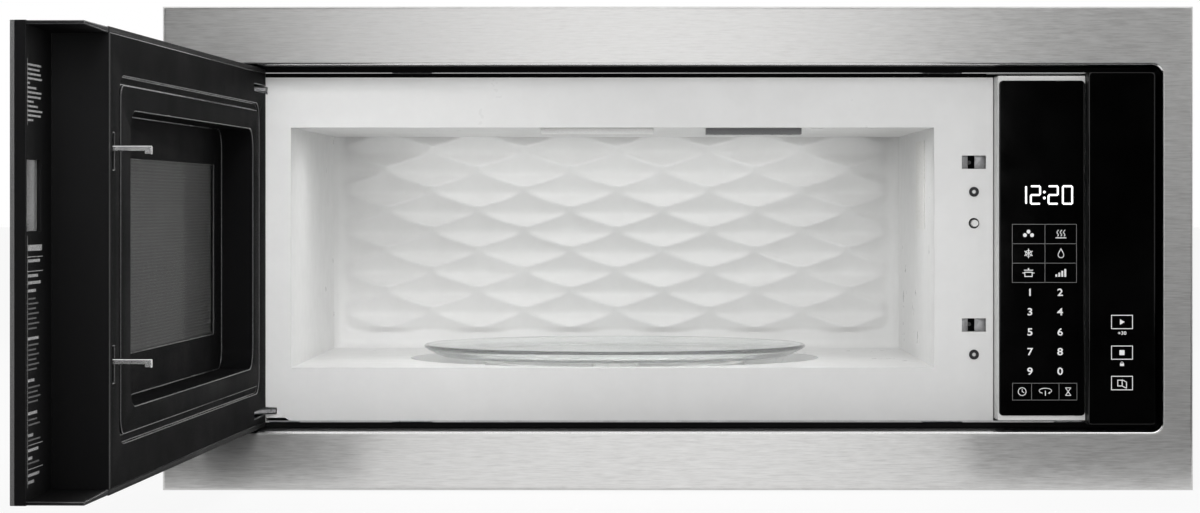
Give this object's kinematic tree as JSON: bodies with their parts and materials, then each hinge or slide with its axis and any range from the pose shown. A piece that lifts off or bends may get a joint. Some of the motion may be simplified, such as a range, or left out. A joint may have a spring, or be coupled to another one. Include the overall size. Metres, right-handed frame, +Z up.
{
  "type": "built-in microwave oven",
  "caption": "Wide low built-in microwave oven in a brushed steel trim frame, with its door open on the left, a glass turntable and a touch panel on the right.",
  "frame": {"origin": "centre of the cabinet face plane, on the rear of the trim backing frame", "axes": "+X right seen from the room, +Y into the cabinet, +Z up"},
  "size_m": [0.758, 1.0348, 0.356],
  "materials": {
    "stainless": "horizontally brushed stainless steel",
    "zinc_steel": "zinc-plated sheet",
    "case_paint": "grey powder coat",
    "black_steel": "black coated sheet",
    "white_enamel": "semi-gloss white enamel",
    "white_plastic": "satin white moulding",
    "black_plastic": "satin black moulding",
    "black_glass": "gloss black printed glass",
    "clear_glass": "clear tempered glass",
    "smoked_glass": "lightly smoked glass",
    "chrome": "polished plating",
    "dark_steel": "dark coated perforated sheet",
    "mica": "satin mica sheet",
    "grey_plastic": "grey moulding",
    "rubber": "matte rubber",
    "board": "circuit board",
    "iron": "varnished laminations and coils",
    "aluminium": "plain aluminium can",
    "lamp": "clear bulb in its holder",
    "black_gloss": "gloss black display lens"
  },
  "bodies": {
    "oven": {"trim_frame": "stainless", "trim_backing_frame": "black_steel", "trim_clips": "zinc_steel", "mounting_brackets": "zinc_steel", "surround_bezel": "black_plastic", "outer_cover": "case_paint", "base_plate": "zinc_steel", "base_feet": "rubber", "back_panel": "zinc_steel", "cord_gland": "black_plastic", "case_screws": "zinc_steel", "front_plate": "white_enamel", "front_plate_screws": "zinc_steel", "cavity_shell": "white_enamel", "cavity_back_panel": "white_enamel", "waveguide_cover": "mica", "sensor_vent_cover": "grey_plastic", "lamp_cover": "white_plastic", "oven_lamp": "lamp", "turntable_motor": "zinc_steel", "magnetron": "aluminium", "waveguide": "zinc_steel", "power_transformer": "iron", "hv_capacitor": "aluminium", "fan_housing": "black_plastic", "fan_motor": "zinc_steel", "air_duct": "black_plastic", "noise_filter_board": "board", "thermal_cutouts": "white_plastic", "control_housing": "white_plastic", "keypad_panel": "black_glass", "clock_display": "black_gloss", "control_board": "board", "side_panel_housing": "black_plastic", "side_touch_panel": "black_glass", "latch_bracket": "white_plastic", "interlock_switches": "black_plastic", "door_opener_motor": "zinc_steel", "upper_hinge": "zinc_steel", "lower_hinge": "zinc_steel", "hinge_pins": "zinc_steel"},
    "door": {"door_case": "black_plastic", "door_glass": "black_glass", "clock_window": "smoked_glass", "door_pan": "black_steel", "door_screen": "dark_steel", "choke_cover": "black_plastic", "inner_window": "clear_glass", "latch_spring": "zinc_steel"},
    "latch": {"latch_lever": "chrome"},
    "opener": {"door_opener_pin": "white_plastic"},
    "plungers": {"switch_plungers": "grey_plastic"},
    "drive": {"motor_shaft": "zinc_steel", "drive_coupler": "white_plastic"},
    "tray": {"glass_tray": "clear_glass"},
    "ring": {"roller_ring": "white_plastic"},
    "front_roller": {"roller_front": "white_plastic"},
    "left_roller": {"roller_left": "white_plastic"},
    "right_roller": {"roller_right": "white_plastic"},
    "fan": {"fan_blade": "grey_plastic"}
  },
  "joints": [
    {"name": "door_hinge", "type": "hinge", "parent": "oven", "child": "door", "pos_m": [-0.333, 0, 0], "axis": [0, 0, 1], "range_deg": [0, 92]},
    {"name": "latch_slide", "type": "slide", "parent": "door", "child": "latch", "axis": [0, 0, 1], "range_m": [0, 0.003], "stiffness_N_per_m": 150, "springref_m": -0.01, "deforming": ["latch_spring"]},
    {"name": "opener_press", "type": "slide", "parent": "oven", "child": "opener", "axis": [0, 1, 0], "range_m": [0, 0.008]},
    {"name": "plunger_press", "type": "slide", "parent": "oven", "child": "plungers", "axis": [0, 1, 0], "range_m": [0, 0.0015]},
    {"name": "coupler_spin", "type": "hinge", "parent": "oven", "child": "drive", "pos_m": [-0.0485, 0.1985, -0.1], "axis": [0, 0, 1], "continuous": true},
    {"name": "tray_lift", "type": "slide", "parent": "drive", "child": "tray", "axis": [0, 0, 1], "range_m": [0, 0.03]},
    {"name": "ring_spin", "type": "hinge", "parent": "oven", "child": "ring", "pos_m": [-0.0485, 0.1985, -0.095], "axis": [0, 0, 1], "continuous": true},
    {"name": "fan_spin", "type": "hinge", "parent": "oven", "child": "fan", "pos_m": [0.272, 0.378, 0.04], "axis": [0, 1, 0], "continuous": true},
    {"name": "front_roller_spin", "type": "hinge", "parent": "ring", "child": "front_roller", "pos_m": [-0.0485, 0.0865, -0.095], "axis": [0, -1, 0], "continuous": true},
    {"name": "right_roller_spin", "type": "hinge", "parent": "ring", "child": "right_roller", "pos_m": [0.0485, 0.2545, -0.095], "axis": [0.866, 0.5, 0], "continuous": true},
    {"name": "left_roller_spin", "type": "hinge", "parent": "ring", "child": "left_roller", "pos_m": [-0.1455, 0.2545, -0.095], "axis": [-0.866, 0.5, 0], "continuous": true}
  ],
  "couplings": [
    {"joint": "ring_spin", "follows": "coupler_spin", "ratio": 0.5},
    {"joint": "opener_press", "follows": "door_hinge", "m_per_rad": 0.0049822},
    {"joint": "plunger_press", "follows": "door_hinge", "m_per_rad": 0.00093417},
    {"joint": "front_roller_spin", "follows": "coupler_spin", "ratio": -9.8246},
    {"joint": "right_roller_spin", "follows": "coupler_spin", "ratio": -9.8246},
    {"joint": "left_roller_spin", "follows": "coupler_spin", "ratio": -9.8246}
  ]
}
